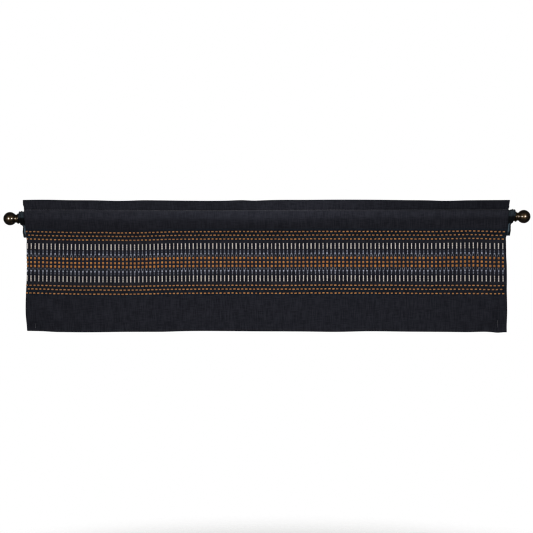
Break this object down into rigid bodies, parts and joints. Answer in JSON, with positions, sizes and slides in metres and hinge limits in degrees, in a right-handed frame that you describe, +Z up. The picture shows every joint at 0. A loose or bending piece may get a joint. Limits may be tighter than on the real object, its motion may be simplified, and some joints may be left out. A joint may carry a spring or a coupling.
{
  "type": "window valance on curtain rod",
  "caption": "Straight flat window valance of dark woven cloth with a striped band, hanging by its rod pocket on a round curtain rod with ball finials.",
  "frame": {"origin": "middle of the rod's length, on its axis, where the brackets hold it up", "axes": "+X along the rod to the right as seen from the room, +Y to the wall, the patterned front facing -Y, +Z up"},
  "size_m": [1.635, 0.0433, 0.4178],
  "materials": {
    "valance_cloth": "heavy charcoal woven cotton with slubs, and a woven band of orange, cream and slate blue yarn floats",
    "casing_cloth": "plain blue-black lining cotton",
    "rod_bronze": "dark bronze lacquer, satin",
    "finial_bronze": "dark bronze, polished"
  },
  "bodies": {
    "root": {"panel": "valance_cloth", "casing": "casing_cloth", "rod": "rod_bronze", "finial_left": "finial_bronze", "finial_right": "finial_bronze"}
  },
  "joints": []
}
